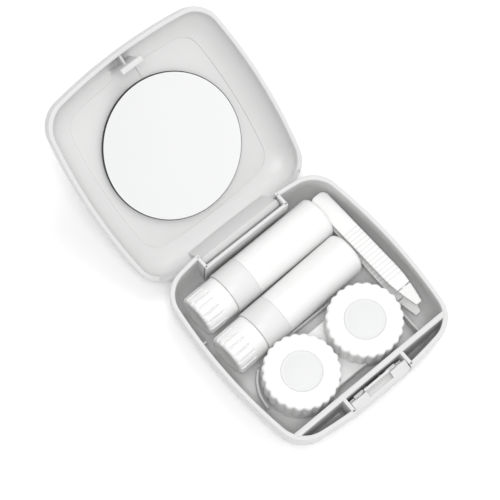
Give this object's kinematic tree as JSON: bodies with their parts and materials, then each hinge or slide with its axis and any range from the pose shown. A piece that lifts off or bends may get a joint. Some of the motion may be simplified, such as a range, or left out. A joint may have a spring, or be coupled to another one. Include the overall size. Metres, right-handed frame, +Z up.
{
  "type": "contact lens travel case",
  "caption": "Square hinged travel case with a mirror in the lid, holding a screw-cap lens case, solution bottles and lens tweezers; a push button frees the lid.",
  "frame": {"origin": "centre of the flat base, at the surface the case stands on", "axes": "+X along the hinge towards the tweezers' side, +Y from the latch to the hinge, +Z up"},
  "size_m": [0.072, 0.1341, 0.0514],
  "materials": {
    "case": "moulded, satin",
    "white": "moulded, semi-gloss",
    "soft_white": "moulded, soft",
    "tip_grey": "soft, matt",
    "foam": "adhesive foam",
    "mirror": "polished",
    "steel": "drawn wire"
  },
  "bodies": {
    "tray": {"base_tray": "case", "hinge_pin": "steel"},
    "lid": {"lid_shell": "case", "mirror": "mirror", "mirror_pad": "foam"},
    "latch_button": {"latch_button": "case", "left_button_spring": "case", "right_button_spring": "case"},
    "lens_case": {"lens_case_body": "white"},
    "left_cap_rise": {"left_cap_disc": "soft_white"},
    "left_cap": {"left_lens_cap": "white"},
    "right_cap_rise": {"right_cap_disc": "soft_white"},
    "right_cap": {"right_lens_cap": "white"},
    "front_bottle": {"front_bottle_body": "white", "front_bottle_band": "soft_white", "front_bottle_nozzle": "white"},
    "front_cap_travel": {"front_bottle_cap_seal": "tip_grey"},
    "front_bottle_cap": {"front_bottle_cap": "white"},
    "back_bottle": {"back_bottle_body": "white", "back_bottle_band": "soft_white", "back_bottle_nozzle": "white"},
    "back_cap_travel": {"back_bottle_cap_seal": "tip_grey"},
    "back_bottle_cap": {"back_bottle_cap": "white"},
    "tweezers": {"tweezers_lower_arm": "white", "lower_soft_tip": "tip_grey"},
    "tweezers_upper": {"tweezers_upper_arm": "white", "upper_soft_tip": "tip_grey"}
  },
  "joints": [
    {"name": "lid_hinge", "type": "hinge", "parent": "tray", "child": "lid", "pos_m": [0, 0.0343, 0.01215], "axis": [-1, 0, 0], "range_deg": [-144.8, 0]},
    {"name": "button_press", "type": "slide", "parent": "tray", "child": "latch_button", "axis": [0, 1, 0], "range_m": [0, 0.0009], "stiffness_N_per_m": 1500, "springref_m": -0.0003, "deforming": ["left_button_spring", "right_button_spring"]},
    {"name": "lens_case_lift", "type": "slide", "parent": "tray", "child": "lens_case", "axis": [0, 0, 1], "range_m": [0, 0.03]},
    {"name": "left_cap_rise", "type": "slide", "parent": "lens_case", "child": "left_cap_rise", "axis": [0, 0, 1], "range_m": [0, 0.003]},
    {"name": "left_cap_turn", "type": "hinge", "parent": "left_cap_rise", "child": "left_cap", "pos_m": [-0.0162, -0.0151, 0.0161], "axis": [0, 0, 1], "range_deg": [0, 360]},
    {"name": "right_cap_rise", "type": "slide", "parent": "lens_case", "child": "right_cap_rise", "axis": [0, 0, 1], "range_m": [0, 0.003]},
    {"name": "right_cap_turn", "type": "hinge", "parent": "right_cap_rise", "child": "right_cap", "pos_m": [0.0106, -0.0151, 0.0161], "axis": [0, 0, 1], "range_deg": [0, 360]},
    {"name": "front_bottle_lift", "type": "slide", "parent": "tray", "child": "front_bottle", "axis": [0, 0, 1], "range_m": [0, 0.03]},
    {"name": "front_cap_travel", "type": "slide", "parent": "front_bottle", "child": "front_cap_travel", "axis": [-0.9993, -0.0384, 0], "range_m": [0, 0.0016]},
    {"name": "front_cap_turn", "type": "hinge", "parent": "front_cap_travel", "child": "front_bottle_cap", "pos_m": [-0.03, 0.00495, 0.00925], "axis": [-0.9993, -0.0384, 0], "range_deg": [0, 360]},
    {"name": "back_bottle_lift", "type": "slide", "parent": "tray", "child": "back_bottle", "axis": [0, 0, 1], "range_m": [0, 0.03]},
    {"name": "back_cap_travel", "type": "slide", "parent": "back_bottle", "child": "back_cap_travel", "axis": [-0.9998, -0.0175, 0], "range_m": [0, 0.0016]},
    {"name": "back_cap_turn", "type": "hinge", "parent": "back_cap_travel", "child": "back_bottle_cap", "pos_m": [-0.0289, 0.02125, 0.00925], "axis": [-0.9998, -0.0175, 0], "range_deg": [0, 360]},
    {"name": "tweezers_lift", "type": "slide", "parent": "tray", "child": "tweezers", "axis": [0, 0, 1], "range_m": [0, 0.03]},
    {"name": "tweezers_squeeze", "type": "hinge", "parent": "tweezers", "child": "tweezers_upper", "pos_m": [0.0283, 0.0282, 0.009], "axis": [1, 0, 0], "range_deg": [0, 7.5], "stiffness_Nm_per_rad": 0.1}
  ],
  "couplings": [
    {"joint": "left_cap_rise", "follows": "left_cap_turn", "m_per_rad": 0.00047746},
    {"joint": "right_cap_rise", "follows": "right_cap_turn", "m_per_rad": 0.00047746},
    {"joint": "front_cap_turn", "follows": "front_cap_travel", "rad_per_m": 3927},
    {"joint": "back_cap_turn", "follows": "back_cap_travel", "rad_per_m": 3927}
  ]
}
